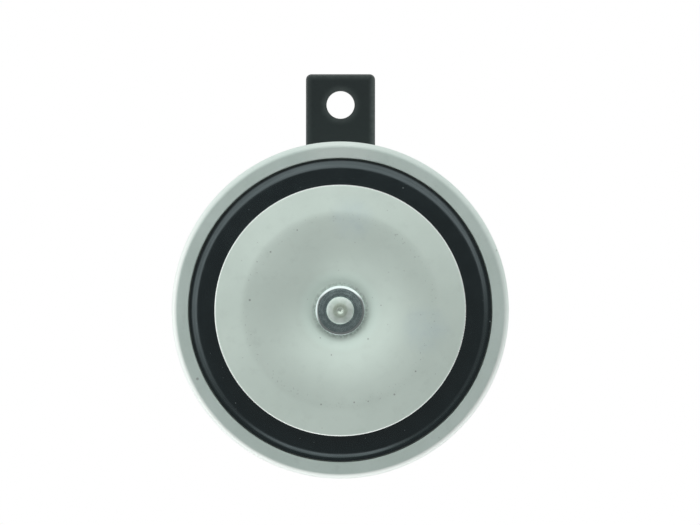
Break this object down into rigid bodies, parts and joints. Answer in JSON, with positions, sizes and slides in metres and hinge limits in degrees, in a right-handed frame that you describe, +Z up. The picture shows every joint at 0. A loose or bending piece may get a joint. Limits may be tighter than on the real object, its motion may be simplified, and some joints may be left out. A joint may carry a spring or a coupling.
{
  "type": "car horn",
  "caption": "Electromagnetic disc horn with a dished tone disc over a black diaphragm, a rolled rim, a pressed housing, rear tab terminals and a strip mounting bracket.",
  "frame": {"origin": "centre of the bracket's fixing hole, at the middle of the strip's thickness", "axes": "+Z up the bracket strip, +Y along the horn's axis towards its terminals and nut, the tone disc faces -Y"},
  "size_m": [0.1, 0.0487, 0.1213],
  "materials": {
    "zinc_plate": "satin",
    "tone_plate": "satin",
    "black_enamel": "semi-gloss",
    "bracket_black": "satin",
    "gasket_fibre": "matte",
    "turned_steel": "turned",
    "stem_steel": "satin",
    "plain_steel": "satin",
    "fastener_zinc": "bright zinc",
    "insulator_fibre": "matte",
    "bobbin_plastic": "matte",
    "enamelled_copper": "enamelled",
    "spring_bronze": "satin",
    "contact_metal": "bright",
    "block_plastic": "moulded",
    "terminal_brass": "satin",
    "resistor_body": "matte"
  },
  "bodies": {
    "horn_body": {"rim_ring": "zinc_plate", "housing": "zinc_plate", "diaphragm": "black_enamel", "bracket": "bracket_black", "front_gasket": "gasket_fibre", "rear_gasket": "gasket_fibre", "pole_core": "fastener_zinc", "coil_bobbin": "bobbin_plastic", "coil_winding": "enamelled_copper", "pole_plate": "plain_steel", "plate_rivets": "plain_steel", "base_insulator": "insulator_fibre", "contact_insulator": "insulator_fibre", "top_insulator": "insulator_fibre", "terminal_insulator": "insulator_fibre", "contact_spring": "spring_bronze", "contact_arm": "plain_steel", "moving_contact": "contact_metal", "fixed_contact": "contact_metal", "breaker_rivets": "plain_steel", "adjusting_screw": "fastener_zinc", "adjuster_nut": "plain_steel", "terminal_block": "block_plastic", "terminal_blade_left": "terminal_brass", "terminal_blade_right": "terminal_brass", "terminal_rivets": "terminal_brass", "coil_lead_to_terminal": "enamelled_copper", "coil_lead_to_spring": "enamelled_copper", "arm_lead_to_terminal": "enamelled_copper", "suppression_resistor": "resistor_body", "bracket_washer": "fastener_zinc", "lock_washer": "fastener_zinc", "bracket_nut": "fastener_zinc"},
    "armature_group": {"armature": "stem_steel", "actuator_sleeve": "insulator_fibre", "stiffening_washer": "plain_steel", "disc_spacer": "plain_steel", "tone_disc": "tone_plate", "front_washer": "turned_steel"}
  },
  "joints": [
    {"name": "armature_stroke", "type": "slide", "parent": "horn_body", "child": "armature_group", "axis": [0, 1, 0], "range_m": [-0.0004, 0.0005], "stiffness_N_per_m": 2000, "deforming": ["diaphragm", "contact_spring"]}
  ]
}
